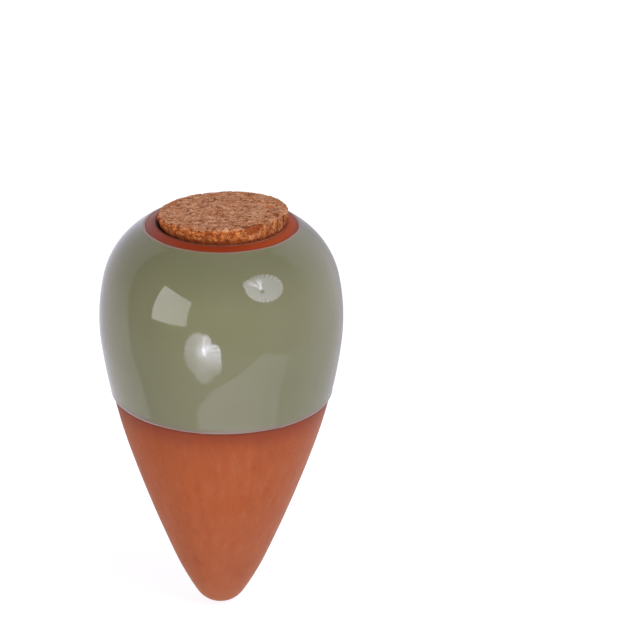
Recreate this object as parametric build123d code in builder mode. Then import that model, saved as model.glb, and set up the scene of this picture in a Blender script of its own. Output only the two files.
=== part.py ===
"""Self watering plant spike: a hollow unglazed clay point with a glazed belly and a cork stopper.

The pointed end is pushed into the soil up to the lower edge of the glaze. Water in the vessel seeps
out through the bare clay, and the cork in the mouth is lifted out to refill it.
Millimetres, +Z up, with the origin on the axis at the soil line.
"""
import os
from math import cos, radians, sin, tan

from build123d import *

# The outline, from the point up to the mouth: arcs that each leave the last one without a corner.
# A heading is the outline's direction in degrees: 0 runs out from the axis and 90 straight up.
tip_depth = 68.5
outline_arcs = [
    # radius, heading at the upper end
    (8.4, 57.5),  # blunt point
    (89, 67),  # lower flank, still opening
    (440, 72),  # long and nearly straight cone
    (172, 82.5),  # swelling to the soil line and past it
    (59, 102),  # belly
    (23.5, 165),  # shoulder, turning in to the mouth
]

# The clay is cast, so its wall is as thick as the slip was left to set all over
wall = 4.0
rim_round = 0.6

# Glaze covers the belly from the soil line to just short of the mouth
glaze_thickness = 0.25
glaze_edge_round = 0.1
bare_rim_radius = 21.5

# A tapered cork that wedges in the mouth and stands a little proud of it
cork_top_diameter = 37.6
cork_taper = 7.0
cork_height = 20.0
cork_top_z = 55.5
cork_edge_round = 0.8
seat_clearance = 0.1


def vessel_section(inset):
    """Half section of the outline, moved towards the axis by inset, as a face right of the axis.

    The arcs of a parallel outline keep their centres and headings, so only the radii change.
    """
    with BuildSketch() as section:
        with BuildLine():
            tip = Vector(0, inset - tip_depth)
            point, heading = tip, 0
            for radius, end_heading in outline_arcs:
                direction = (cos(radians(heading)), sin(radians(heading)))
                arc = JernArc(point, direction, radius - inset, end_heading - heading)
                point, heading = arc @ 1, end_heading
            Polyline(point, (0, point.Y), tip)
        make_face()
    return section.sketch


def cork_radius(z, clearance=0.0):
    """Radius of the stopper's cone at height z, or of a seat around it."""
    return cork_top_diameter / 2 - (cork_top_z - z) * tan(radians(cork_taper)) + clearance


def cone_section(bottom_z, top_z, clearance=0.0):
    """Corners of a half section of the stopper's cone between two heights."""
    return [
        (0, bottom_z),
        (cork_radius(bottom_z, clearance), bottom_z),
        (cork_radius(top_z, clearance), top_z),
        (0, top_z),
    ]


cork_bottom_z = cork_top_z - cork_height

# Terracotta vessel, with a tapered mouth cut through the top of its shoulder
with BuildPart() as clay_body:
    with BuildSketch(Plane.XZ) as wall_section:
        add(vessel_section(0))
        add(vessel_section(wall), mode=Mode.SUBTRACT)
        with BuildLine():
            Polyline(*cone_section(cork_bottom_z, cork_top_z, seat_clearance), close=True)
        make_face(mode=Mode.SUBTRACT)
        mouth_corners = wall_section.vertices().sort_by(Axis.Y)[-2:]
        fillet(mouth_corners, rim_round)
    revolve(axis=Axis.Z)
clay_body.part.label = "clay_body"

# Fired glaze, a skin of even thickness that ends at the soil line and around the bare rim
with BuildPart() as glaze_coat:
    with BuildSketch(Plane.XZ) as coat_section:
        add(vessel_section(-glaze_thickness))
        add(vessel_section(0), mode=Mode.SUBTRACT)
        with Locations((bare_rim_radius, 0)):
            Rectangle(tip_depth, tip_depth, align=(Align.MIN, Align.MIN), mode=Mode.INTERSECT)
        lower_corner = coat_section.vertices().group_by(Axis.Y)[0].sort_by(Axis.X)[-1]
        upper_corner = coat_section.vertices().group_by(Axis.X)[0].sort_by(Axis.Y)[-1]
        fillet([lower_corner, upper_corner], glaze_edge_round)
    revolve(axis=Axis.Z)
glaze_coat.part.label = "glaze_coat"

# Cork stopper, seated in the mouth
with BuildPart() as cork_stopper:
    with BuildSketch(Plane.XZ) as cork_section:
        with BuildLine():
            Polyline(*cone_section(cork_bottom_z, cork_top_z), close=True)
        make_face()
        outer_corners = cork_section.vertices().filter_by_position(Axis.X, 1, cork_top_diameter)
        fillet(outer_corners, cork_edge_round)
    revolve(axis=Axis.Z)
cork_stopper.part.label = "cork_stopper"

os.makedirs("parts", exist_ok=True)
export_step(clay_body.part, "parts/clay_body.step")
export_step(glaze_coat.part, "parts/glaze_coat.step")
export_step(cork_stopper.part, "parts/cork_stopper.step")
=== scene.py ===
# %% [markdown]
# A watering spike is a small terracotta bottle with a pointed end. The point goes into the soil of a
# pot and sweats water through its bare clay, the belly above the soil is glazed so that it doesn't
# dry out in the air, and a cork closes the mouth.
#
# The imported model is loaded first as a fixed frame. Everything made below takes its place from it,
# in metres, with the origin on the axis at the soil line.

# %% Load the frame and keep its box
from functools import partial, reduce
from math import radians

import bpy
import numpy as np
from mathutils import Euler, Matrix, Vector


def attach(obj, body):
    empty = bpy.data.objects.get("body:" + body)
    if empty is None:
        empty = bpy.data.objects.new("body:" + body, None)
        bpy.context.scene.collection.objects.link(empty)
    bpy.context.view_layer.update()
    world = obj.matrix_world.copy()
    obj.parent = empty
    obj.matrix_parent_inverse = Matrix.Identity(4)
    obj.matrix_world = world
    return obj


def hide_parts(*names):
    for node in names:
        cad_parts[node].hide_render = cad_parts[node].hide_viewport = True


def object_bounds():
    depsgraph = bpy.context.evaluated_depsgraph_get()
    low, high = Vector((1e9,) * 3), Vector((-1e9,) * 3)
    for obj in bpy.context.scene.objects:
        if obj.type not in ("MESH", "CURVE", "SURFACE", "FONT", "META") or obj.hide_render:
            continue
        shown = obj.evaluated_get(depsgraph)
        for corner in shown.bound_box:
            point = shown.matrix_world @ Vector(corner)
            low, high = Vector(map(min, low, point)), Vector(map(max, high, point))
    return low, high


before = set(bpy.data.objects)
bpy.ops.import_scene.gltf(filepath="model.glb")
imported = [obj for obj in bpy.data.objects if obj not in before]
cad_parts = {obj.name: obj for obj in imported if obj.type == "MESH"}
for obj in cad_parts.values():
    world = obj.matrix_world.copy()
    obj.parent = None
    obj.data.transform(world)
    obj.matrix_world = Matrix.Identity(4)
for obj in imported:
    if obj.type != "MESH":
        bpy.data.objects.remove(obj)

cad_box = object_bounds()
MM = 0.001
print("frame box, mm:", [[round(value / MM, 1) for value in corner] for corner in cad_box])

# %% [markdown]
# The vessel's outline is six arcs that run into each other without a corner: a blunt point, a long
# and nearly straight cone, the belly and the shoulder. Each arc is given by its radius and by the
# direction in which the outline heads at its upper end. A spline through measured points would also
# do, but arcs keep the curve as smooth as a turned mould, and a parallel wall keeps their centres.

# %% The outline as a path
TIP_DEPTH = 68.5 * MM
OUTLINE_ARCS = (
    # radius in mm, heading at the upper end in degrees
    (8.4, 57.5),
    (89, 67),
    (440, 72),
    (172, 82.5),
    (59, 102),
    (23.5, 165),
)
FINE_STEP = 0.05 * MM


def outline(inset=0):
    """The outline moved inwards by inset, as points (radius, height) about FINE_STEP apart.

    Where the path on an arc of radius R about C heads in direction h, its point is
    C + (R - inset) (sin h, -cos h), and the next arc's centre lies on that same normal.
    """
    points = []
    centre = np.array([0, OUTLINE_ARCS[0][0] * MM - TIP_DEPTH])
    start, last_radius = 0, OUTLINE_ARCS[0][0] * MM
    for radius_mm, end_degrees in OUTLINE_ARCS:
        radius, end = radius_mm * MM, radians(end_degrees)
        centre = centre + (last_radius - radius) * np.array([np.sin(start), -np.cos(start)])
        steps = int(np.ceil(radius * (end - start) / FINE_STEP))
        heading = np.linspace(start, end, steps, endpoint=False)
        outward = np.stack([np.sin(heading), -np.cos(heading)], axis=1)
        points.append(centre + (radius - inset) * outward)
        start, last_radius = end, radius
    return np.concatenate(points)


def rounded(path, width):
    """The path with its corners rounded: each point is the mean of the stretch of width around it."""
    half = int(width / FINE_STEP / 2)
    padded = np.pad(path, ((half, half), (0, 0)), mode="reflect", reflect_type="odd")
    window = np.full(2 * half + 1, 1 / (2 * half + 1))
    return np.stack([np.convolve(padded[:, axis], window, "valid") for axis in (0, 1)], axis=1)


def lengths(path):
    """The distance along the path at each of its points."""
    return np.concatenate([[0], np.cumsum(np.linalg.norm(np.diff(path, axis=0), axis=1))])


def picked(path, scale, wanted):
    """The path's points at which scale, a number that grows along it, has the wanted values."""
    return np.stack([np.interp(wanted, scale, path[:, axis]) for axis in (0, 1)], axis=1)


def every(path, spacing):
    """The path again, as points about spacing apart."""
    along = lengths(path)
    return picked(path, along, np.linspace(0, along[-1], int(along[-1] / spacing) + 1))


def outward_of(path):
    """The unit normals of a path that runs up the outside: its slope (r, z), turned to (z, -r)."""
    slope = np.gradient(path, axis=0)
    outward = np.stack([slope[:, 1], -slope[:, 0]], axis=1)
    return outward / np.linalg.norm(outward, axis=1, keepdims=True)


outer = outline()
widest = outer[outer[:, 0].argmax()]
print("clay is widest, mm:", round(2 * widest[0] / MM, 2), "at height", round(widest[1] / MM, 1))

# %% [markdown]
# All three pieces are round, so one helper makes each mesh from a grid of points: a row for each
# step along the profile, and a column for each step around the axis. The profile runs up the
# outside, so its faces point outwards. A ring's profile, such as the glaze's, joins its own start.

# %% From a grid of points to a mesh
def around(count):
    """The columns' angles, anticlockwise from +X."""
    return np.linspace(0, 2 * np.pi, count, endpoint=False)


def polar(radius, angles, height):
    """Points at a radius and a height in the direction of each angle."""
    return np.stack([radius * np.cos(angles), radius * np.sin(angles), height + 0 * angles], axis=-1)


def turned(path, angles):
    """The grid of points that a path (radius, height) sweeps about Z."""
    return polar(path[:, :1], angles, path[:, 1:])


def surface(name, points, ring=False, **fields):
    """A closed mesh object from a grid of points [along, around, xyz].

    Columns always wrap. In a ring the rows wrap too, and otherwise the first and last rows are
    poles, one vertex each. Every field is a grid of numbers that becomes a point attribute.
    """
    rows, columns = points.shape[:2]
    index = np.arange(rows * columns).reshape(rows, columns)
    used = slice(0, rows * columns)
    if not ring:
        index = np.clip(index - (columns - 1), 0, (rows - 2) * columns + 1)
        used = slice(columns - 1, (rows - 1) * columns + 1)
    near, far = (index, np.roll(index, -1, axis=0)) if ring else (index[:-1], index[1:])
    corners = [near, np.roll(near, -1, axis=1), np.roll(far, -1, axis=1), far]
    quads = np.stack(corners, axis=-1).reshape(-1, 4)
    kept = np.ones(quads.shape, dtype=bool)
    if not ring:
        kept[:columns, 1] = False
        kept[-columns:, 3] = False
    sizes = kept.sum(axis=1)
    vertices = points.reshape(-1, 3)[used]

    mesh = bpy.data.meshes.new(name)
    mesh.vertices.add(len(vertices))
    mesh.vertices.foreach_set("co", vertices.ravel())
    mesh.loops.add(int(sizes.sum()))
    mesh.loops.foreach_set("vertex_index", quads[kept])
    mesh.polygons.add(len(sizes))
    mesh.polygons.foreach_set("loop_start", np.cumsum(sizes) - sizes)
    mesh.update(calc_edges=True)
    mesh.validate()
    mesh.shade_smooth()
    for field, values in fields.items():
        attribute = mesh.attributes.new(field, "FLOAT", "POINT")
        attribute.data.foreach_set("value", values.reshape(-1)[used].astype(np.float32))
    made = bpy.data.objects.new(name, mesh)
    bpy.context.collection.objects.link(made)
    print(name, "has", len(vertices), "vertices and", int((sizes - 2).sum()), "triangles")
    return made


# %% [markdown]
# Hand-made surfaces are never quite true. Three kinds of irregularity are enough here: a soft noise,
# which is random numbers on a lattice with smooth blends between them, a packing of granules, where
# each point belongs to the nearest of many scattered centres, and scattered round spots. All are
# worked out for whole arrays of points, and they give the same numbers each run.

# %% Noise, granules and spots
# Large odd numbers, whose products fill 32 bits evenly
CELL_FACTORS = (73856093, 19349663, 83492791)
SEED_FACTOR = 2654435761
STIRS = ((15, 2246822519), (13, 3266489917))
LOW_32_BITS, LOW_24_BITS = 0xFFFFFFFF, 0xFFFFFF


def scatter(cells, seed):
    """A repeatable random number from 0 to 1 for each whole-numbered cell (x, y, z)."""
    mixed = seed * SEED_FACTOR
    for axis, factor in enumerate(CELL_FACTORS):
        mixed = mixed ^ (cells[..., axis].astype(np.int64) * factor)
    for shift, factor in STIRS:
        mixed = ((mixed ^ (mixed >> shift)) * factor) & LOW_32_BITS
    return ((mixed ^ (mixed >> 16)) & LOW_24_BITS) / (LOW_24_BITS + 1)


def soft_noise(points, size, seed):
    """Noise from -1 to 1 whose bumps are about size across.

    The value in a cell blends the numbers of its eight corners, weighted by 3t^2 - 2t^3.
    """
    scaled = points / size
    cell = np.floor(scaled)
    t = eased(scaled - cell, 0, 1)
    total = 0
    for corner in np.ndindex(2, 2, 2):
        weight = np.prod(np.where(corner, t, 1 - t), axis=-1)
        total = total + weight * scatter(cell + corner, seed)
    return 2 * total - 1


def cells_around(scaled, seed):
    """The 27 cells around each point, one after another, each with its random centre."""
    home = np.floor(scaled)
    for step in np.ndindex(3, 3, 3):
        cell = home + np.array(step) - 1
        yield cell, cell + np.stack([scatter(cell, seed + axis) for axis in range(3)], axis=-1)


def granules(points, size, seed):
    """For each point: the random number of its granule, which is the nearest centre, and the distance
    to the next granule, which is half of how much further the second nearest centre is."""
    scaled = points / size
    nearest = np.full(points.shape[:-1], np.inf)
    second = nearest.copy()
    number = np.zeros(points.shape[:-1])
    for cell, centre in cells_around(scaled, seed):
        distance = np.linalg.norm(scaled - centre, axis=-1)
        closer = distance < nearest
        second = np.where(closer, nearest, np.minimum(second, distance))
        number = np.where(closer, scatter(cell, seed + 3), number)
        nearest = np.where(closer, distance, nearest)
    return number, (second - nearest) * size / 2


def eased(value, low, high):
    """0 below low, 1 above high, and 3t^2 - 2t^3 between."""
    t = np.clip((value - low) / (high - low), 0, 1)
    return t * t * (3 - 2 * t)


def near_angle(angles, centre, half_width):
    """1 at an angle in degrees, easing to 0 at half_width degrees to either side."""
    apart = (np.degrees(angles) - centre + 180) % 360 - 180
    return 1 - eased(np.abs(apart), 0.35 * half_width, half_width)


def spots(points, size, radius, share, seed):
    """1 inside small round spots, easing to 0 at their edges. A given share of the lattice's cells
    hold one, whose radius is from half of radius up to all of it."""
    inside = np.zeros(points.shape[:-1])
    for cell, centre in cells_around(points / size, seed):
        reach = radius * (0.5 + 0.5 * scatter(cell, seed + 3))
        there = scatter(cell, seed + 4) < share
        distance = np.linalg.norm(points - centre * size, axis=-1)
        inside = np.maximum(inside, there * (1 - eased(distance / reach, 0.5, 1)))
    return inside


# %% [markdown]
# The clay body is cast in a mould: liquid clay sets to an even wall, and the rest is poured out. So
# its profile is the outline up to the mouth, the tapered bore that the cork wedges in, and the
# parallel outline back down the inside. The caster trims the mouth with a wet finger, which rounds
# both its edges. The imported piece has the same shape, and is replaced by one with the faint
# unevenness of cast and sponged clay.

# %% Clay body
WALL = 4 * MM
RIM_ROUND = 0.7 * MM
CORK_TOP = 55.5 * MM
CORK_HEIGHT = 20 * MM
CORK_TOP_RADIUS = 18.8 * MM
CORK_TAPER = np.tan(radians(7))
SEAT_ROOM = 0.1 * MM
CLAY_ROW = 0.95 * MM
CLAY_COLUMNS = 240
CLAY_SWELL, CLAY_DIMPLE = 0.05 * MM, 0.02 * MM
SMOOTH_POLE = 6 * MM
SAG_HEIGHTS = np.array([-68, -5, 20]) * MM
SAG_SHIFTS = np.array([-0.2, 0.19, 0]) * MM
POINT_DROP = 0.18 * MM
POINT_SPAN = (-68 * MM, -55 * MM)


def cork_radius(height):
    """Radius of the stopper's cone at a height."""
    return CORK_TOP_RADIUS - (CORK_TOP - height) * CORK_TAPER


def clay_profile():
    """The outline to the mouth, the bore, and the parallel outline back to the axis."""
    stretches = []
    for inset in (0, WALL):
        path = outline(inset)
        in_cone = path[:, 0] < cork_radius(path[:, 1]) + SEAT_ROOM
        in_bore = in_cone & (path[:, 1] > CORK_TOP - CORK_HEIGHT)
        stretches.append(path[: in_bore.argmax()])
    outside, inside = stretches
    top, bottom = outside[-1], inside[-1]
    bore = np.linspace(top, bottom, int(np.linalg.norm(top - bottom) / FINE_STEP))[1:-1]
    return rounded(np.concatenate([outside, bore, inside[::-1]]), RIM_ROUND)


def sagged(points):
    """The points after the sag of a soft casting: the cone leans, and its point hangs lower."""
    height = points[..., 2]
    moved = points.copy()
    moved[..., 0] += np.interp(height, SAG_HEIGHTS, SAG_SHIFTS)
    moved[..., 2] -= POINT_DROP * (1 - eased(height, *POINT_SPAN))
    return moved


def make_clay():
    """The turned profile, pushed along its normals by two noises that fade out at the poles."""
    path = every(clay_profile(), CLAY_ROW)
    path[[0, -1], 0] = 0
    angles = around(CLAY_COLUMNS)
    grid = turned(path, angles)
    push = CLAY_SWELL * soft_noise(grid, 17 * MM, 11) + CLAY_DIMPLE * soft_noise(grid, 4 * MM, 12)
    push *= eased(grid[..., 0] ** 2 + grid[..., 1] ** 2, 0, SMOOTH_POLE ** 2)
    points = grid + push[..., None] * turned(outward_of(path), angles)
    return surface("terracotta_vessel", sagged(points))


clay = make_clay()
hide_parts("clay_body")
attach(clay, "vessel")

# %% [markdown]
# The glaze is a skin of melted glass about a third of a millimetre thick. It is modelled as a real
# ring over the clay, because its edges show: surface tension draws each edge into a rounded bead,
# and the line where it stops wanders and dips a little, as brushed or dipped glaze does. Its inner
# side is tucked just under the clay's surface, so no gap opens between them.

# %% Glaze coat
GLAZE_THICKNESS = 0.36 * MM
GLAZE_TUCK = 0.12 * MM
BARE_RIM_RADIUS = 21.5 * MM
EDGE_WANDER = 0.12 * MM
# Stretches where an edge lies lower: depth in mm, then middle and half width in degrees
LOW_EDGE_DIPS = ((0.1, 270, 70),)
HIGH_EDGE_DIPS = ((0.3, 182, 40), (0.12, 245, 55), (0.5, 10, 36))
BEAD_WIDTH = 0.45 * MM
BEAD_SWELL = 0.25
RIPPLE = 0.006 * MM
GLAZE_COLUMNS = 320
GLAZE_ROWS = 130
ROW_CROWDING = 0.93
INSIDE_STRIDE = 4


def glaze_edge(place, angles, wave_sizes, seed, dips):
    """Where an edge runs: its place along the outline, plus two noises, less its dips. The noises
    are read on a circle of radius 1, so that they join up after a full turn."""
    circle = polar(1, angles, 0)
    edge = place + EDGE_WANDER * soft_noise(circle, wave_sizes[0], seed)
    edge += EDGE_WANDER / 2 * soft_noise(circle, wave_sizes[1], seed + 1)
    for depth, middle, half_width in dips:
        edge -= depth * MM * near_angle(angles, middle, half_width)
    return edge


def make_glaze():
    """The outer side, then the inner side, of a ring between two wandering edges.

    Each edge is a quarter of an ellipse of BEAD_WIDTH, with a low swell behind it. Rows crowd
    towards the edges: their place is t - c sin(2 pi t) / 2 pi.
    """
    angles = around(GLAZE_COLUMNS)
    path = outline()
    along = lengths(path)
    is_shoulder = path[:, 1] > widest[1]
    low = np.interp(0, path[:, 1], along)
    high = np.interp(-BARE_RIM_RADIUS, -path[is_shoulder, 0], along[is_shoulder])
    low_edge = glaze_edge(low, angles, (0.3, 0.06), 21, LOW_EDGE_DIPS)
    high_edge = glaze_edge(high, angles, (0.4, 0.1), 23, HIGH_EDGE_DIPS)

    share = np.linspace(0, 1, GLAZE_ROWS)[:, None]
    share = share - ROW_CROWDING * np.sin(2 * np.pi * share) / (2 * np.pi)
    place = low_edge + (high_edge - low_edge) * share
    from_low, from_high = place - low_edge, high_edge - place
    from_edge = np.minimum(from_low, from_high)
    bead = np.sqrt(1 - (1 - np.clip(from_edge / BEAD_WIDTH, 0, 1)) ** 2)
    swell = 1 + BEAD_SWELL * np.exp(-(((from_edge - 2 * BEAD_WIDTH) / (1.2 * BEAD_WIDTH)) ** 2))
    thickness = GLAZE_THICKNESS * bead * swell

    heading = np.arctan2(np.gradient(path[:, 1]), np.gradient(path[:, 0]))
    sides = []
    for where, lift in ((place, thickness), (place[::-INSIDE_STRIDE], -GLAZE_TUCK)):
        turn = np.interp(where, along, heading)
        radius = np.interp(where, along, path[:, 0]) + lift * np.sin(turn)
        height = np.interp(where, along, path[:, 1]) - lift * np.cos(turn)
        sides.append(polar(radius, angles, height))
    outside, inside = sides
    ripple = RIPPLE * soft_noise(outside, 7 * MM, 25) * np.clip(from_edge / MM, 0, 1)
    outside = outside + ripple[..., None] * outside / np.linalg.norm(outside, axis=-1, keepdims=True)
    foot, collar = (np.concatenate([far, far[::-INSIDE_STRIDE]]) / MM for far in (from_low, from_high))
    points = sagged(np.concatenate([outside, inside]))
    return surface("glaze_skin", points, ring=True, foot_mm=foot, collar_mm=collar)


glaze = make_glaze()
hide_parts("glaze_coat")
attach(glaze, "vessel")

# %% [markdown]
# The stopper is a plain cone with rounded corners, pressed from cork granules. Its profile needs
# close rows only where the cork shows, and can do with wide ones inside the mouth.

# %% Cork profile
CORK_EDGE_ROUND = 2.2 * MM
FINE_ABOVE = 48 * MM
FINE_ROW, COARSE_ROW = 0.21 * MM, 0.8 * MM


def cork_profile():
    """Up the cone from the middle of the underside to the middle of the top, corners rounded."""
    bottom = CORK_TOP - CORK_HEIGHT
    corners = np.array([
        (0, bottom),
        (cork_radius(bottom), bottom),
        (CORK_TOP_RADIUS, CORK_TOP),
        (0, CORK_TOP),
    ])
    reach = lengths(corners)
    path = rounded(picked(corners, reach, np.arange(0, reach[-1], FINE_STEP)), CORK_EDGE_ROUND)
    rows = np.cumsum(FINE_STEP / np.where(path[:, 1] > FINE_ABOVE, FINE_ROW, COARSE_ROW))
    path = picked(path, rows, np.linspace(rows[0], rows[-1], int(rows[-1])))
    path[[0, -1], 0] = 0
    return path


# %% [markdown]
# The granules are of mixed sizes, the largest 2 to 3 mm across. Sawing and sanding tears crumbs out
# along their boundaries, so the faces are pitted, with small round holes all over and upright
# grooves on the right. A bump that is only shaded would vanish at the top edge, where it shows most,
# so all this is real relief, and each point also keeps its granule's number for the colour.

# %% Cork granules and pores
GRANULE, CRUMB = 2.0 * MM, 0.85 * MM
SEAM_WIDTH, SEAM_DEPTH = 0.16 * MM, 0.05 * MM
PIT_WIDTH, PIT_DEPTH = 0.26 * MM, 0.28 * MM
GRANULE_STEP = 0.1 * MM
GRAIN, BUMP = 0.04 * MM, 0.26 * MM
HOLE_SPACING, HOLE_RADIUS, HOLE_DEPTH = 1.9 * MM, 0.5 * MM, 0.32 * MM
GROOVE_SPACING, GROOVE_DEPTH = 0.75 * MM, 0.4 * MM


def bent(points, *bends):
    """The points moved by soft noises, which takes straight sides from cells. A bend is an amount
    and a size in mm, and a seed."""
    moved = points
    for amount, size, seed in bends:
        shift = np.stack([soft_noise(points, size * MM, seed + axis) for axis in range(3)], axis=-1)
        moved = moved + amount * MM * shift
    return moved


def cork_grain(grid):
    """The granules' numbers, the seams between them, and the pits where crumbs were torn out.
    Crumbs are a second packing, whose numbers and seams take over in half of the granules."""
    cells = bent(grid, (0.75, 2.6, 31), (0.4, 0.9, 61))
    number, to_edge = granules(cells, GRANULE, 41)
    crumb_number, crumb_edge = granules(cells, CRUMB, 51)
    crumbly = eased(np.modf(number * 7.31)[0], 0.5, 0.52)
    seam = 1 - eased(np.where(crumbly > 0.5, crumb_edge, to_edge), 0, SEAM_WIDTH)
    torn = eased(soft_noise(bent(grid, (0.4, 0.7, 71)), 1.1 * MM, 34), 0.22, 0.5)
    pit = torn * (1 - eased(np.minimum(to_edge, 1.4 * crumb_edge), 0.05 * MM, PIT_WIDTH))
    return number + crumbly * (crumb_number - number), seam, pit


def cork_pores(grid, angles, on_side):
    """Small round holes all over, and upright grooves on the side, the most of them to the right."""
    hole = spots(bent(grid, (0.3, 0.8, 91)), HOLE_SPACING, HOLE_RADIUS, 0.75, 81)
    upright = grid * np.array([1, 1, 0.22])
    groove = eased(-soft_noise(upright, GROOVE_SPACING, 32), 0.1, 0.6) * on_side
    return hole, groove * (0.1 + 0.9 * near_angle(angles, -12, 55))


# %% [markdown]
# The cork has also been used. Its top edge is rubbed off, mostly in front, the mouth has dented it
# on the left, and a chip is missing at the front right. A plane cut would hardly show there, and so
# the chip is scooped out by an ellipsoid. The top was cut a little out of square: it rises to the
# right and towards the front.

# %% Cork stopper
CORK_COLUMNS = 600
TOP_RISE = (0.048, -0.055)
TOP_SHIFT = 0.3 * MM
CHIP_AT = radians(-61)
CHIP_REACH = (3.5 * MM, 3.9 * MM)
CHIP_DEPTH = 1.9 * MM
DENT_AT, DENT_HALF_WIDTH = 222, 92
DENT_DEPTH = 0.5 * MM
SMALL_WEAR, LARGE_WEAR = 0.35 * MM, 0.5 * MM
SEAT_TOP = 51.5 * MM
SEAT_SMOOTHING = 0.03 * MM


def cork_wear(grid, path, angles):
    """How far the top edge is rubbed off, and the side dented at the mouth."""
    from_corner = np.hypot(CORK_TOP_RADIUS - path[:, 0], CORK_TOP - path[:, 1])[:, None]
    wear = SMALL_WEAR * eased(soft_noise(grid, 1.2 * MM, 37), -0.4, 0.8)
    wear += LARGE_WEAR * eased(soft_noise(grid, 2.7 * MM, 33), 0.05, 0.7)
    wear *= 0.3 + 0.7 * near_angle(angles, 250, 130)
    height = path[:, 1:]
    at_mouth = eased(height, 48 * MM, 50.5 * MM) * (1 - eased(height, 52.5 * MM, 54.8 * MM))
    dent = near_angle(angles, DENT_AT, DENT_HALF_WIDTH) * at_mouth
    return (1 - eased(from_corner, 0.3 * MM, 2.0 * MM)) * wear + DENT_DEPTH * dent


def scooped(points):
    """The points with a chip scooped out of the top edge, and how far each was moved. The scoop is
    an ellipsoid about a centre outside the edge, and points inside it move out to its surface."""
    normal = polar(1, CHIP_AT, 1) / np.sqrt(2)
    lateral = np.array([-np.sin(CHIP_AT), np.cos(CHIP_AT), 0])
    corner = polar(CORK_TOP_RADIUS, CHIP_AT, CORK_TOP)
    offset = points - corner - normal * (CHIP_REACH[0] - CHIP_DEPTH)
    ragged = 1 + 0.12 * soft_noise(points, 1.3 * MM, 38) + 0.05 * soft_noise(points, 0.6 * MM, 36)
    along = (offset @ lateral) * (CHIP_REACH[0] / CHIP_REACH[1] - 1)
    share = np.linalg.norm(offset + along[..., None] * lateral, axis=-1) / (CHIP_REACH[0] * ragged)
    outwards = offset * (1 / np.maximum(share, 0.2) - 1)[..., None]
    moved = np.where((share < 1)[..., None], points + outwards, points)
    return moved, np.linalg.norm(moved - points, axis=-1)


def sawn_side(grid, path, angles):
    """1 on the sawn side and 0 on the top. Their boundary is where a point has gone as far down as
    in from the sharp corner, made ragged by a noise, and it lies further in on the left."""
    past_corner = CORK_TOP - path[:, 1:] - (cork_radius(path[:, 1:]) - path[:, :1])
    past_corner = past_corner + 0.7 * MM * soft_noise(bent(grid, (0.5, 0.9, 98)), 1.7 * MM, 39)
    return eased(past_corner + 0.5 * MM * near_angle(angles, 212, 55), -0.25 * MM, 0.3 * MM)


def make_cork():
    """The turned cone, pushed along its normals by its relief, chipped, and tilted at the top."""
    path = cork_profile()
    angles = around(CORK_COLUMNS)
    grid = turned(path, angles)
    outward = outward_of(path)
    on_side = eased(outward[:, :1], 0.5, 0.95)

    tone, seam, pit = cork_grain(grid)
    hole, groove = cork_pores(grid, angles, on_side)
    bumps = BUMP * soft_noise(bent(grid, (0.5, 1.1, 95)), 1.5 * MM, 36) * on_side
    push = -PIT_DEPTH * pit - SEAM_DEPTH * seam + GRANULE_STEP * (tone - 0.5)
    push += GRAIN * soft_noise(grid, 0.55 * MM, 35) + bumps
    push -= cork_wear(grid, path, angles) + GROOVE_DEPTH * groove + HOLE_DEPTH * hole
    seated = 1 - eased(path[:, 1:], SEAT_TOP - 1.5 * MM, SEAT_TOP)
    push = push * (1 - 0.5 * seated) - SEAT_SMOOTHING * seated
    points, cut = scooped(grid + push[..., None] * turned(outward, angles))
    chip = eased(cut, 0, 0.35 * MM)
    pit = np.maximum(pit * (1 - 0.6 * on_side), np.maximum(hole, 0.9 * groove)) * (1 - chip)

    lean = TOP_RISE[0] * points[..., 0] + TOP_RISE[1] * points[..., 1]
    above_seat = eased(grid[..., 2], CORK_TOP - 8 * MM, CORK_TOP)
    points[..., 2] += lean * above_seat
    points[..., 0] += TOP_SHIFT * above_seat
    sawn = sawn_side(grid, path, angles)
    return surface("cork_plug", points, granule=tone, seam=seam, pit=pit, chip=chip, sawn=sawn)


cork = make_cork()
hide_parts("cork_stopper")
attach(cork, "stopper")

# %% [markdown]
# The finishes are node materials, and a small class keeps them short. Every finish is a stack of
# layers: each blends another colour over the last one, by a share that comes from noise or height.

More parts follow.
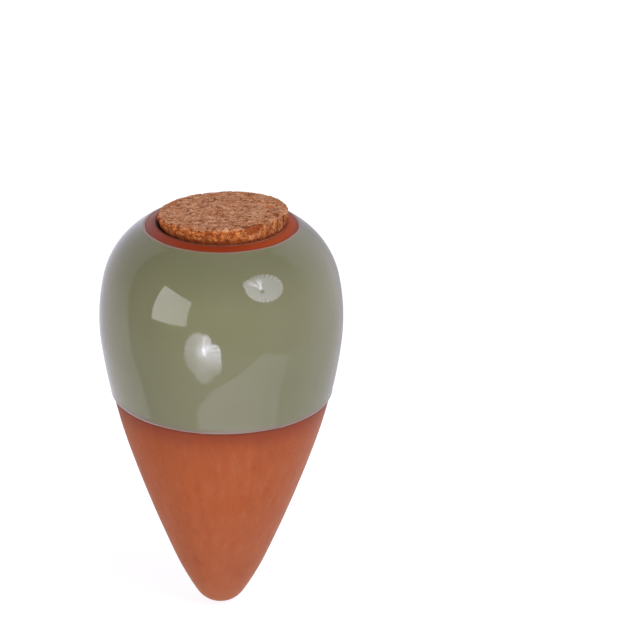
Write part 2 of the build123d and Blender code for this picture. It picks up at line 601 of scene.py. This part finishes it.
# %% Helpers for materials
class Maker:
    """Adds nodes to one node tree and joins them."""

    def __init__(self, tree):
        self.nodes, self.links = tree.nodes, tree.links

    def add(self, kind, values=None, output=0, **properties):
        """An output of a new node, whose inputs are filled with values or with other outputs."""
        node = self.nodes.new("ShaderNode" + kind)
        for name, value in properties.items():
            setattr(node, name, value)
        for name, value in (values or {}).items():
            if isinstance(value, bpy.types.NodeSocket):
                self.links.new(value, node.inputs[name])
            else:
                node.inputs[name].default_value = value
        return node.outputs[output]

    def math(self, operation, first, second=0):
        """One step of arithmetic on one or two values."""
        return self.add("Math", {0: first, 1: second}, operation=operation)

    def times(self, *values):
        """The product of the values."""
        return reduce(partial(self.math, "MULTIPLY"), values)

    def plus(self, *values):
        """The sum of the values."""
        return reduce(partial(self.math, "ADD"), values)

    def most(self, *values):
        """The largest of the values."""
        return reduce(partial(self.math, "MAXIMUM"), values)

    def ramp(self, value, low, high, to_low=0, to_high=1, smooth=True):
        """From to_low, where value is low or less, to to_high, where it is high or more."""
        kind = "SMOOTHSTEP" if smooth else "LINEAR"
        limits = {"Value": value, "From Min": low, "From Max": high, "To Min": to_low, "To Max": to_high}
        return self.add("MapRange", limits, interpolation_type=kind)

    def mix(self, share, first, second):
        """The number first + share (second - first)."""
        return self.add("Mix", {0: share, 2: first, 3: second}, data_type="FLOAT")

    def blend(self, share, first, second):
        """The same sum for two colours."""
        return self.add("Mix", {0: share, 6: first, 7: second}, 2, data_type="RGBA")

    def layered(self, colour, *layers):
        """The colour under a stack of layers, each a pair (share, colour), the last one on top."""
        for share, layer in layers:
            colour = self.blend(share, colour, layer)
        return colour

    def noise(self, vector, size, detail=3, roughness=0.5):
        """Noise from 0 to 1 with bumps about size across."""
        values = {"Vector": vector, "Scale": 1 / size, "Detail": detail, "Roughness": roughness}
        return self.add("TexNoise", values, "Fac")

    def attribute(self, name):
        """The number that the mesh carries under a name."""
        return self.add("Attribute", output="Fac", attribute_name=name)

    def stretched(self, vector, scale):
        """The vector times scale, axis by axis. A small scale draws a pattern out."""
        return self.add("Mapping", {"Vector": vector, "Scale": scale})

    def part(self, vector, axis):
        """One axis of a vector."""
        return self.add("SeparateXYZ", {0: vector}, axis)

    def dot(self, vector, other):
        """The dot product, which measures the vector along the other one."""
        return self.add("VectorMath", {0: vector, 1: tuple(other)}, "Value", operation="DOT_PRODUCT")

    def from_axis(self, place):
        """The distance of a place from the Z axis."""
        return self.add("VectorMath", {0: self.stretched(place, (1, 1, 0))}, "Value", operation="LENGTH")

    def bump(self, principled, height, depth_mm, strength):
        """Shades the surface as if height stood out by depth_mm."""
        values = {"Height": height, "Distance": depth_mm * MM, "Strength": strength}
        self.links.new(self.add("Bump", values), principled.inputs["Normal"])


def start_material(name):
    """A new material, its maker, its Principled node and its Object coordinates in mm."""
    material = bpy.data.materials.new(name)
    material.use_nodes = True
    maker = Maker(material.node_tree)
    principled = maker.nodes["Principled BSDF"]
    place = maker.stretched(maker.add("TexCoord", output="Object"), (1 / MM, 1 / MM, 1 / MM))
    return material, maker, principled, place


def dress(piece, material):
    """Gives a piece its material."""
    piece.data.materials.append(material)
    print(piece.name, "wears", material.name, "of", len(material.node_tree.nodes), "nodes")


# %% [markdown]
# Terracotta is matte. Its orange comes from iron, and it is never even: paler dust clings in soft
# patches and runs, and the point is paler, partly chalk and partly painted bounce light from the
# floor. Where the glaze begins the clay is darker and redder, partly stained by the glaze and partly
# painted shade under its edge, and it ends in a thin dark line, a stain with painted shadow under
# the glaze's bead. The ring around the mouth was wiped and handled. It is a deep red-brown with a
# dull margin along the glaze, its right half is painted paler as if lit from the right, and its left
# half has a dark lip at the bore, which is painted shadow in the gap by the cork. Dust also stands
# up from the surface, which a little sheen shows along the sides. One flat orange would look like
# plastic, and a painted picture would need a flat map of the vessel, so every mark is a layer of its
# own, placed by height or by noise.

# %% Terracotta
CLAY_COLOUR = (0.378, 0.081, 0.0145, 1)
CLAY_PALE = (0.42, 0.135, 0.055, 1)
# Deeper clay in runs and grain, and painted shade under the glaze's edge
CLAY_DEEP_AND_SHADE = (0.225, 0.039, 0.012, 1)
# This and the next colour make the point paler: chalk, with painted bounce light from the floor
CLAY_CHALK_AND_LIGHT = (0.39, 0.102, 0.033, 1)
CLAY_POINT_CHALK_AND_LIGHT = (0.44, 0.135, 0.052, 1)
# A thin stain with painted shadow under the glaze's bead, and painted shadow at the bore's lip
CLAY_STAIN_AND_SHADOW = (0.11, 0.026, 0.016, 1)
RING_COLOUR = (0.222, 0.021, 0, 1)
# Painted light: the ring's right half is paler, as if lit from the right
RING_LIT_RIGHT = (0.285, 0.038, 0, 1)
RING_MARGIN = (0.165, 0.045, 0.02, 1)
RING_HEIGHTS = (47.5, 49)


def terracotta():
    """Matte clay: a stack of layers from the body's colour to the lip, and a fine bump."""
    material, maker, principled, place = start_material("terracotta")
    ramp, noise, stretched = maker.ramp, maker.noise, maker.stretched
    across, height, reach = maker.part(place, "X"), maker.part(place, "Z"), maker.from_axis(place)
    patches = noise(place, 11, 4, 0.6)
    runs = noise(stretched(place, (1, 1, 0.12)), 2.4, 3, 0.6)
    smudges = noise(stretched(place, (1, 1, 1.8)), 4.5, 5, 0.6)
    grain = noise(place, 0.45, 3, 0.7)
    specks = noise(place, 1.1, 1, 0.3)
    # Paler towards the point: partly chalk, partly painted bounce light from the floor
    chalk_and_bounce_light = maker.plus(ramp(height, -60, -12, 0.75, 0.1), ramp(patches, 0.35, 0.7, -0.1, 0.35))
    # Height of the band of painted shade and stain under the glaze, made to wander
    wavering = maker.plus(height, maker.times(patches, 6))
    ring = maker.layered(
        RING_COLOUR,
        # Painted light on the ring's right half
        (ramp(across, 0, 16), RING_LIT_RIGHT),
        (ramp(reach, 20.8, 21.7, 0, 0.85), RING_MARGIN),
    )
    # Painted shadow in the gap between the cork and the bore's left lip
    narrowed = maker.plus(reach, ramp(across, -18.5, -13, 0.55, 0))
    lip_shadow = maker.times(ramp(narrowed, 18.9, 19.5, 1, 0), ramp(height, 46, 48))
    colour = maker.layered(
        CLAY_COLOUR,
        (chalk_and_bounce_light, CLAY_CHALK_AND_LIGHT),
        (ramp(runs, 0.5, 0.8, 0, 0.55), CLAY_PALE),
        (ramp(runs, 0.5, 0.22, 0, 0.3), CLAY_DEEP_AND_SHADE),
        (ramp(smudges, 0.62, 0.78, 0, 0.6), CLAY_PALE),
        (ramp(specks, 0.74, 0.82, 0, 0.7), CLAY_PALE),
        (ramp(grain, 0.3, 0.8, 0, 0.15), CLAY_DEEP_AND_SHADE),
        # Painted bounce light with chalk at the point
        (ramp(height, -68, -55, 0.9, 0), CLAY_POINT_CHALK_AND_LIGHT),
        # Painted shade with the glaze's stain, darker towards the glaze, then a thin line of painted
        # shadow
        (ramp(wavering, -5, 3, 0, 0.7), CLAY_DEEP_AND_SHADE),
        (ramp(height, -16, -2, 0, 0.28, smooth=False), CLAY_DEEP_AND_SHADE),
        (ramp(height, -4, -0.3, 0, 0.68, smooth=False), CLAY_DEEP_AND_SHADE),
        (ramp(height, -0.95, -0.3, 0, 0.6), CLAY_STAIN_AND_SHADOW),
        (ramp(height, *RING_HEIGHTS), ring),
        # Painted shadow at the bore's left lip
        (maker.times(lip_shadow, ramp(across, -6, 4, 0.8, 0)), CLAY_STAIN_AND_SHADOW),
    )
    maker.links.new(colour, principled.inputs["Base Color"])
    wiped = maker.times(ramp(height, *RING_HEIGHTS, 0, 0.25), ramp(across, -10, 5, 1, 0))
    rough = maker.math("SUBTRACT", ramp(grain, 0.3, 0.7, 0.62, 0.8), wiped)
    maker.links.new(maker.mix(lip_shadow, rough, 1), principled.inputs["Roughness"])
    maker.bump(principled, grain, 0.05, 0.6)
    principled.inputs["Specular IOR Level"].default_value = 0.25
    principled.inputs["Sheen Weight"].default_value = 0.17
    principled.inputs["Sheen Roughness"].default_value = 0.4
    principled.inputs["Sheen Tint"].default_value = (0.8, 0.9, 0.7, 1)
    return material


dress(clay, terracotta())

# %% [markdown]
# The glaze is a sage green glass, smooth enough to mirror the lamps with sharp edges. Its colour is
# nearly even: it pools a shade darker in places and towards the shoulder. It thins out at both
# edges, where the clay under it makes it browner, and ends in a fine pale line. A band by height
# couldn't follow edges that wander, so the mesh carries the distance to each in mm, the foot at the
# bottom and the collar at the top.

# %% Glaze
GLAZE_COLOUR = (0.184, 0.184, 0.098, 1)
GLAZE_POOLED = (0.172, 0.174, 0.088, 1)
GLAZE_SHOULDER = (0.15, 0.152, 0.078, 1)
GLAZE_WASHED = (0.202, 0.157, 0.118, 1)
GLAZE_THIN = (0.42, 0.27, 0.19, 1)
GLAZE_COLLAR = (0.36, 0.15, 0.12, 1)


def green_glaze():
    """Glossy glass, whose colour changes only near its two edges and at the shoulder."""
    material, maker, principled, place = start_material("green_glaze")
    ramp, foot, collar = maker.ramp, maker.attribute("foot_mm"), maker.attribute("collar_mm")
    colour = maker.layered(
        GLAZE_COLOUR,
        (ramp(maker.noise(place, 22, 3, 0.5), 0.35, 0.7), GLAZE_POOLED),
        (ramp(maker.part(place, "Z"), 34, 50), GLAZE_SHOULDER),
        (ramp(foot, 0.5, 2.2, 1, 0), GLAZE_WASHED),
        (ramp(foot, 0.25, 0.6, 0.75, 0), GLAZE_THIN),
        (ramp(collar, 0.3, 1, 0.6, 0), GLAZE_COLLAR),
    )
    maker.links.new(colour, principled.inputs["Base Color"])
    principled.inputs["Roughness"].default_value = 0.05
    principled.inputs["IOR"].default_value = 1.55
    return material


dress(glaze, green_glaze())

# %% [markdown]
# Cork granules each have their own tone, from pale pinkish tan to red-brown, with a fine grain that
# runs its own way in each. Pits, pores and thin veins are dark, because they lie deep and hold bark.
# The top is dusty grey in places and flushed orange towards its edge. The sawn side is more orange
# than the top, less so on the right. The chip shows fresh red-brown cork, with painted shadow along
# its edge, and the dark band at the mouth is partly a water stain and partly painted shade where the
# cork sits in the bore. All of it could be one mottled noise, but then the colours wouldn't end where
# the relief does, so the tones come from the granules that shaped the mesh.

# %% The cork's top and side
CORK_TAN = (0.46, 0.205, 0.09, 1)
CORK_PALE = (0.66, 0.37, 0.2, 1)
CORK_AMBER = (0.65, 0.25, 0.079, 1)
CORK_RED = (0.32, 0.10, 0.03, 1)
CORK_ORANGE = (0.5, 0.125, 0.018, 1)
CORK_BROWN = (0.23, 0.045, 0.008, 1)
CORK_GREY = (0.43, 0.235, 0.14, 1)
CORK_CHIP = (0.29, 0.055, 0.01, 1)
CORK_DARK = (0.11, 0.025, 0.006, 1)
# A water stain with painted shade where the cork sits in the mouth
CORK_STAINED_AND_SHADED = (0.17, 0.028, 0.004, 1)


def cork_top(maker, place, tone):
    """The colour of the top, from each granule's tone, with the flushed and the dusty patches."""
    ramp, noise, stretched = maker.ramp, maker.noise, maker.stretched
    flushed = ramp(noise(stretched(place, (0.75, 1, 1)), 2.2, 5, 0.65), 0.5, 0.64)
    flushed = maker.times(flushed, ramp(maker.from_axis(place), 10, 18, 0.28, 0.7))
    dusty = ramp(noise(stretched(place, (0.6, 1, 1)), 2.6, 4, 0.6), 0.52, 0.68, 0, 0.5)
    return maker.layered(
        CORK_TAN,
        (ramp(tone, 0.42, 0.78), CORK_PALE),
        (ramp(tone, 0.15, 0.45, 0.85, 0), CORK_RED),
        (flushed, CORK_ORANGE),
        (dusty, CORK_GREY),
    )


def cork_side(maker, place, tone):
    """The colour of the side, whose patches are broader than the granules."""
    broad = maker.plus(maker.times(maker.noise(place, 1.6, 3, 0.6), 1.6), -0.3)
    broad = maker.mix(0.5, tone, broad)
    return maker.layered(
        CORK_ORANGE,
        (maker.ramp(broad, 0.42, 0.66, 0, 0.9), CORK_AMBER),
        (maker.ramp(broad, 0.28, 0.5, 0.9, 0), CORK_BROWN),
    )


# %% [markdown]
# Whatever lies deep is dark, and so all the hollows share one colour. A point is as dark as its
# deepest mark makes it, which is why the marks are joined by the largest and not by their sum.

# %% The cork's hollows
def cork_hollows(maker, place, mottle, curls, sawn, chip):
    """How dark seams, veins, pits, specks, short dashes and painted shadow at the chip's edge make a
    point.
    """
    ramp = maker.ramp
    seam = maker.times(maker.attribute("seam"), ramp(mottle, 0.35, 0.6, 0.5, 0))
    vein = maker.math("ABSOLUTE", maker.math("SUBTRACT", curls, 0.5))
    veins = maker.times(ramp(vein, 0, 0.034, 1, 0), maker.mix(sawn, 0.1, 0.85))
    specks = ramp(maker.noise(place, 0.5, 2, 0.5), 0.61, 0.68, 0, 0.8)
    dashes = maker.noise(maker.stretched(place, (0.45, 1, 1)), 0.75, 2, 0.5)
    dashes = ramp(dashes, 0.595, 0.655, 0, 0.85)
    # Painted shadow along the edge of the chip
    chip_edge_shadow = maker.times(maker.math("SUBTRACT", 1, chip), chip, 3.2)
    return maker.times(maker.most(seam, veins, maker.attribute("pit"), specks, dashes, chip_edge_shadow), 0.9)


# %% [markdown]
# Now the layers are put together. The grain of each granule runs its own way, because ground bark is
# pressed together as it falls. So the noise for the fibres is turned by the granule's number.

# %% Cork
FULL_TURN = 6.3


def pressed_cork():
    """The top's colour, the side's by the share sawn, the chip, the hollows, stain and painted shade."""
    material, maker, principled, place = start_material("pressed_cork")
    ramp, noise = maker.ramp, maker.noise
    number, sawn, chip = (maker.attribute(name) for name in ("granule", "sawn", "chip"))
    spin = {"Vector": place, "Axis": (0.25, 0.2, 0.95), "Angle": maker.times(number, FULL_TURN)}
    own_way = maker.add("VectorRotate", spin)
    fibres = noise(maker.stretched(own_way, (1, 3, 1)), 0.9, 4, 0.65)
    mottle = noise(place, 0.8, 4, 0.7)
    fine = noise(place, 0.34, 2, 0.6)
    tone = maker.plus(
        maker.times(number, 0.38), maker.times(mottle, 1.6), -0.535,
        ramp(fibres, 0.3, 0.7, -0.1, 0.1), ramp(fine, 0.3, 0.7, -0.23, 0.23))
    curling = {"Vector": place, "Scale": 1 / 1.4, "Detail": 2, "Distortion": 1.4}
    curls = maker.add("TexNoise", curling, "Fac")
    pale_vein = maker.math("ABSOLUTE", maker.math("SUBTRACT", curls, 0.565))
    across = maker.plus(maker.part(place, "X"), maker.times(noise(place, 2.5), 8))
    height = maker.plus(maker.part(place, "Z"), maker.times(noise(place, 1.2), 1.2))
    fresh = maker.blend(ramp(tone, 0.35, 0.8, 0, 0.5), CORK_CHIP, CORK_ORANGE)
    # Partly a water stain and partly painted shade at the mouth
    stain_and_shade = maker.times(ramp(height, 53, 54.1, 0.85, 0), ramp(height, 50.5, 52.5))
    colour = maker.layered(
        cork_top(maker, place, tone),
        (maker.times(sawn, ramp(across, 8, 15, 1, 0.65)), cork_side(maker, place, tone)),
        (maker.times(ramp(pale_vein, 0, 0.03, 0.6, 0), sawn), CORK_AMBER),
        (maker.times(chip, 0.85), fresh),
        (cork_hollows(maker, place, mottle, curls, sawn, chip), CORK_DARK),
        (stain_and_shade, CORK_STAINED_AND_SHADED),
    )
    maker.links.new(colour, principled.inputs["Base Color"])
    principled.inputs["Roughness"].default_value = 0.85
    principled.inputs["Specular IOR Level"].default_value = 0.15
    maker.bump(principled, fibres, 0.1, 0.7)
    return material


dress(cork, pressed_cork())

# %% [markdown]
# A glossy pot shows the room it stands in, so the room matters as much as the glaze. This studio is
# pale behind the pot, dim on the camera's side and dark overhead, which gives the glaze its pale
# outer bands and its deep middle. A sheet of white paper lies in front below. The world gives all
# this as a brightness for each direction.

# %% The room
ROOM_LEFT, ROOM_RIGHT = 0.075, 0.21
TABLE = 0.3
PAPER = 1.55
ROOM_TINT = (0.87, 0.835, 1.02, 1)


class Room(Maker):
    """The room's brightness in a direction (x, y, z) from the pot. near is -y, and rise is z or 0."""

    def __init__(self, tree):
        super().__init__(tree)
        self.direction = self.add("TexCoord", output="Generated")
        self.x, self.y, self.z = (self.part(self.direction, axis) for axis in "XYZ")
        self.near = self.times(self.y, -1)
        self.rise = self.most(self.z, 0)

    def behind(self):
        """1 on the wall: y > 0.27 z + 0.165 on the left, and y > 0.3 rise + 0.035 on the right."""
        on_left = self.ramp(self.dot(self.direction, (0, 1, -0.27)), 0.14, 0.19)
        on_right = self.ramp(self.plus(self.y, self.times(self.rise, -0.3)), 0.01, 0.06)
        return self.mix(self.math("LESS_THAN", self.x, 0), on_right, on_left)

    def wall(self):
        """Brighter further back, dimmer high up and even near the floor. The right is its own ramp."""
        near_floor = self.ramp(self.z, -0.35, -0.1, 1, 0)
        left = self.plus(self.times(self.y, 0.6), self.times(self.rise, -0.45), 0.55)
        left = self.mix(near_floor, left, 0.96)
        right = self.mix(near_floor, self.ramp(self.y, 0, 0.6, 0.56, 1.04, smooth=False), 0.83)
        high_up = self.ramp(self.z, 0.6, 0.9, 1, 0.65)
        far_back = self.ramp(self.y, 0.75, 0.97, 1, 0.65)
        return self.mix(self.ramp(self.x, -0.2, 0.2), left, self.times(right, high_up, far_back))

    def front(self):
        """Dim on the camera's side, darker to the left and high up, with a paler table below."""
        dim = self.times(
            self.ramp(self.x, -0.6, 0.25, ROOM_LEFT, ROOM_RIGHT),
            self.ramp(self.z, 0.5, 0.8, 1, 0.5),
            self.ramp(self.near, 0.15, 0.35, 1.8, 1))
        return self.plus(dim, self.ramp(self.z, -0.45, -0.1, TABLE, 0))

    def paper(self):
        """1 on the sheet: z < -0.39 x - 0.12 near, z < 0.43 x - 0.33 near - 0.33, x > -0.52 near,
        and near > 0.37, or 0.28 at its foot."""
        top_edge = self.dot(self.direction, (0.386, -0.119, 1))
        slanted_edge = self.plus(self.dot(self.direction, (-0.43, -0.33, 1)), 0.33)
        front_edge = self.plus(self.near, self.ramp(self.z, -0.72, -0.58, 0, -0.09))
        return self.times(
            self.ramp(self.most(top_edge, slanted_edge), -0.012, 0.012, 1, 0),
            self.ramp(front_edge, 0.24, 0.32),
            self.ramp(self.dot(self.direction, (1, -0.52, 0)), -0.02, 0.02))


def make_room():
    """The wall where it is behind, else the paper where it lies, else the front of the room."""
    world = bpy.data.worlds.new("studio")
    bpy.context.scene.world = world
    world.use_nodes = True
    room = Room(world.node_tree)
    sheet = room.ramp(room.x, 0.1, 0.75, PAPER, 0.75 * PAPER)
    strength = room.mix(room.behind(), room.mix(room.paper(), room.front(), sheet), room.wall())
    seen = room.add("LightPath", output="Is Camera Ray")
    background = room.nodes["Background"]
    room.links.new(room.mix(seen, strength, 1), background.inputs["Strength"])
    room.links.new(room.blend(seen, ROOM_TINT, (1, 1, 1, 1)), background.inputs["Color"])
    print("the room is", len(room.nodes), "nodes")


make_room()

# %% [markdown]
# The spike stands on white. To the camera the floor glows, just short of white, and a little of the
# lamps' light tops it up, so that only a soft shadow is left of the spike. The light itself meets a
# plain pale floor, darker on the left, that bounces it up to the clay. From below the floor is
# clear, because the point is looked at from there too.

# %% The floor
FLOOR_HALF = 3.0
FLOOR_SEEN = 0.33
FLOOR_GLOW = 0.84
BOUNCE_LEFT, BOUNCE_RIGHT = 0.5, 0.85


def floor_material():
    """White with a soft shadow for the camera, a pale bounce for the light, and clear from below."""
    material, maker, principled, place = start_material("paper_floor")
    maker.nodes.remove(principled)
    seen = maker.add("LightPath", output="Is Camera Ray")
    under = maker.add("NewGeometry", output="Backfacing")
    shaded = maker.add("BsdfDiffuse", {"Color": (FLOOR_SEEN, FLOOR_SEEN, FLOOR_SEEN, 1)})
    glow = maker.add("Emission", {"Strength": FLOOR_GLOW})
    white = maker.add("AddShader", {0: shaded, 1: glow})
    pale = maker.ramp(maker.part(place, "X"), -200, 200, BOUNCE_LEFT, BOUNCE_RIGHT)
    bounce = maker.add("BsdfDiffuse", {"Color": pale})
    top = maker.add("MixShader", {0: seen, 1: bounce, 2: white})
    clear = maker.add("BsdfTransparent")
    both = maker.add("MixShader", {0: under, 1: top, 2: clear})
    maker.links.new(both, maker.nodes["Material Output"].inputs["Surface"])
    return material


def make_floor():
    """One square at the height of the point."""
    mesh = bpy.data.meshes.new("floor")
    level = cad_box[0][2] - POINT_DROP
    corners = [(x * FLOOR_HALF, y * FLOOR_HALF, level) for x, y in ((-1, -1), (1, -1), (1, 1), (-1, 1))]
    mesh.from_pydata(corners, [], [(0, 1, 2, 3)])
    floor = bpy.data.objects.new("floor", mesh)
    bpy.context.collection.objects.link(floor)
    mesh.materials.append(floor_material())
    floor.visible_glossy = False
    floor.visible_shadow = False
    print("the floor lies at", round(level / MM, 2), "mm")


make_floor()

# %% [markdown]
# A softbox stands on the left, and umbrella lamps stand to the right and low in front. Each is a
# rectangular area lamp, and what the glaze mirrors is the pattern drawn on it: discs and a rounded
# square for the covers, thin rays for the ribs, and flares that leave the hub. A pattern worked out
# from the place on the lamp needs no picture file, and stays sharp close up.

# %% Helpers for lamps
LAMP_COLOUR = (0.97, 0.95, 1)
UMBRELLA_COLOUR = (0.88, 0.865, 1.04)
UMBRELLA_AWAY = 1.1
BELLY = Vector((0, 0, 20 * MM))


def add_lamp(name, centre, facing, size, radiance, colour=LAMP_COLOUR):
    """A rectangular area lamp of a given radiance. Its power is four times radiance times area."""
    data = bpy.data.lights.new(name, "AREA")
    data.shape = "RECTANGLE"
    data.size, data.size_y = size
    data.energy = 4 * radiance * size[0] * size[1]
    data.color = colour
    lamp = bpy.data.objects.new(name, data)
    lamp.location = centre
    lamp.rotation_mode = "QUATERNION"
    lamp.rotation_quaternion = Vector(facing).to_track_quat("-Z", "Y")
    lamp.visible_camera = False
    bpy.context.collection.objects.link(lamp)
    print(name, "has", round(data.energy, 2), "W")
    return lamp


class LampFace(Maker):
    """Draws a brightness pattern on a lamp. Places are metres from its middle, (right, up)."""

    def __init__(self, lamp):
        lamp.data.use_nodes = True
        super().__init__(lamp.data.node_tree)
        ends = {0: self.add("NewGeometry", output="Position"), 1: tuple(lamp.location)}
        offset = self.add("VectorMath", ends, operation="SUBTRACT")
        axes = lamp.rotation_quaternion.to_matrix()
        self.across, self.up = (self.dot(offset, axes.col[axis]) for axis in (0, 1))

    def from_place(self, place):
        """The offsets from a place on the lamp: right, up, and the distance."""
        right, up = self.math("SUBTRACT", self.across, place[0]), self.math("SUBTRACT", self.up, place[1])
        square = self.plus(self.times(right, right), self.times(up, up))
        return right, up, self.math("SQRT", square)

    def disc(self, place, radius, soft, strength=1):
        """strength within radius of a place, fading to 0 over soft."""
        return self.ramp(self.from_place(place)[2], radius - soft, radius, strength, 0)

    def cushion(self, place, half, soft):
        """1 within half sizes (right, up) of a place with rounded corners, |r|^4 + |u|^4 = 1."""
        offsets = self.from_place(place)[:2]
        fourth = [self.math("POWER", self.math("DIVIDE", *pair), 4) for pair in zip(offsets, half)]
        reach = self.math("POWER", self.plus(*fourth), 0.25)
        return self.ramp(reach, 1 - soft / half[0], 1, 1, 0)

    def ribs(self, hub, count, depth):
        """1 plus or minus depth, in thin rays from the hub that are stronger to some sides."""
        right, up, reach = self.from_place(hub)
        angle = self.math("ARCTAN2", up, right)
        rays = self.math("SINE", self.times(angle, count))
        uneven = self.plus(self.times(self.math("SINE", self.times(angle, 3)), 0.25), 0.75)
        return self.plus(self.times(rays, uneven, self.ramp(reach, 0.02, 0.12, 0, depth)), 1)

    def flare(self, hub, degrees, spread, length, strength):
        """A streak that leaves the hub at an angle and fades to both sides and along its length."""
        right, up, reach = self.from_place(hub)
        turn = radians(degrees)
        ahead = self.plus(self.times(right, np.cos(turn)), self.times(up, np.sin(turn)))
        cosine = self.math("DIVIDE", ahead, reach)
        aligned = self.ramp(cosine, np.cos(radians(spread)), 1, 0, strength)
        return self.times(aligned, self.ramp(reach, 0.25 * length, length, 1, 0))

    def shine(self, strength):
        """Gives the lamp its pattern."""
        self.links.new(strength, self.nodes["Emission"].inputs["Strength"])


# %% Lamps
def light_softbox():
    """A square softbox, a little brighter on its left."""
    place, facing = (-0.862, -0.854, 0.319), (0.976, 0.184, -0.12)
    face = LampFace(add_lamp("softbox", place, facing, (0.894, 0.752), 2.7))
    face.shine(face.ramp(face.across, -0.45, 0.45, 1.16, 0.84, smooth=False))


def umbrella_face(name, azimuth, elevation, size, radiance):
    """A lamp in a direction from the belly. Azimuth is 0 towards the camera and 90 towards +X."""
    a, e = radians(azimuth), radians(elevation)
    away = Vector((np.sin(a) * np.cos(e), -np.cos(a) * np.cos(e), np.sin(e)))
    middle = UMBRELLA_AWAY * away + BELLY
    return LampFace(add_lamp(name, middle, -middle, size, radiance, UMBRELLA_COLOUR))


def light_high_umbrella():
    """A round umbrella that bulges to the left, with flares over its hub and the lamp head's dot."""
    face = umbrella_face("high_umbrella", 48, 37, (0.86, 0.8), 3.5)
    hub = (-0.02, 0.035)
    cover = face.times(
        face.most(face.disc((0.045, 0.015), 0.37, 0.03), face.disc((-0.132, 0.197), 0.157, 0.02)),
        face.ribs((-0.02, 0.04), 27, 0.45),
        face.ramp(face.up, 0.15, 0.38, 1, 0.55),
        face.ramp(face.across, -0.3, 0.4, 1.12, 0.82, smooth=False))
    streaks = face.plus(face.flare(hub, 76, 22, 0.3, 1.7), face.flare(hub, 118, 18, 0.36, 1.3))
    spot = face.disc((-0.032, 0.038), 0.05, 0.045, 1.8)
    lamp_head = face.ramp(face.from_place((-0.037, -0.05))[2], 0.015, 0.055, 0.05, 1)
    face.shine(face.times(face.plus(cover, streaks, spot), lamp_head))


def light_low_umbrella():
    """Two umbrellas that overlap: a round one on the left, and a squarer one with a bright top."""
    face = umbrella_face("low_umbrella", -16, -20, (0.74, 0.66), 3.8)
    hub = (0.002, 0.094)
    wide = face.times(
        face.disc((-0.095, 0.055), 0.265, 0.05),
        face.ramp(face.up, -0.12, 0.12, 0.6, 1),
        face.ramp(face.across, -0.3, 0.1, 0.6, 1.2))
    square = face.times(
        face.cushion((0.1, -0.01), (0.205, 0.195), 0.02),
        face.ramp(face.up, -0.2, 0.12, 0.32, 1.7),
        face.ramp(face.across, -0.12, 0.08))
    tail = face.disc((-0.01, -0.12), 0.21, 0.09, 0.45)
    crown = face.disc((0.046, 0.188), 0.106, 0.03, 1.2)
    cover = face.times(face.most(wide, square, tail, crown), face.ribs(hub, 25, 0.25))
    face.shine(face.plus(
        cover,
        face.flare(hub, 83, 20, 0.25, 1),
        face.flare(hub, 30, 40, 0.22, 0.9),
        face.disc((-0.003, 0.11), 0.045, 0.04, 2.0),
        face.disc((0.016, 0.07), 0.045, 0.04, 1.6),
        face.disc((-0.03, 0.09), 0.15, 0.15, 0.75)))


def light_matte():
    """Plain soft lights from above and three sides. They stay out of the glaze, as wide diffusers do."""
    for name, middle, side, radiance in (
        ("overhead", (0.3, -0.3, 1.2), 0.9, 2.05),
        ("right_fill", (1.2, -0.35, -0.1), 0.8, 0.8),
        ("front_fill", (0, -1.2, 0.25), 0.8, 1.35),
        ("left_fill", (-1, -0.5, -0.3), 0.8, 1.1),
    ):
        lamp = add_lamp(name, middle, -Vector(middle), (side, side), radiance)
        lamp.visible_glossy = False


light_softbox()
light_high_umbrella()
light_low_umbrella()
light_matte()

# %% [markdown]
# The camera stands 24 degrees above the level and 0.93 m away with a long lens, as in the
# photograph. The pot isn't in the middle of that picture, so the camera is first aimed at the soil
# line and then turned until the soil line falls on its place in the picture.

# %% Camera
PICTURE_PIXELS = 640
FOCAL_PIXELS = 3200
PIXELS_PER_MM = 3.43
CAMERA_ELEVATION = 24.0
SOIL_LINE_PIXEL = (221.4, 388.3)


def make_camera():
    """Aimed at the soil line, then turned each way by the arctangent of pixels off over FOCAL_PIXELS."""
    data = bpy.data.cameras.new("camera")
    data.sensor_width = 36
    data.lens = data.sensor_width * FOCAL_PIXELS / PICTURE_PIXELS
    camera = bpy.data.objects.new("camera", data)
    elevation = radians(CAMERA_ELEVATION)
    back = Vector((0, -np.cos(elevation), np.sin(elevation)))
    camera.location = back * (FOCAL_PIXELS / PIXELS_PER_MM * MM)
    camera.rotation_mode = "QUATERNION"
    right = np.arctan((PICTURE_PIXELS / 2 - SOIL_LINE_PIXEL[0]) / FOCAL_PIXELS)
    up = np.arctan((SOIL_LINE_PIXEL[1] - PICTURE_PIXELS / 2) / FOCAL_PIXELS)
    turn = Euler((up, -right, 0)).to_quaternion()
    camera.rotation_quaternion = (-back).to_track_quat("-Z", "Y") @ turn
    data.clip_start, data.clip_end = 0.05, 20
    bpy.context.collection.objects.link(camera)
    bpy.context.scene.camera = camera
    print("camera lens, mm:", round(data.lens), "at", [round(value, 3) for value in camera.location], "m")


make_camera()
bpy.context.scene.view_settings.view_transform = "Standard"
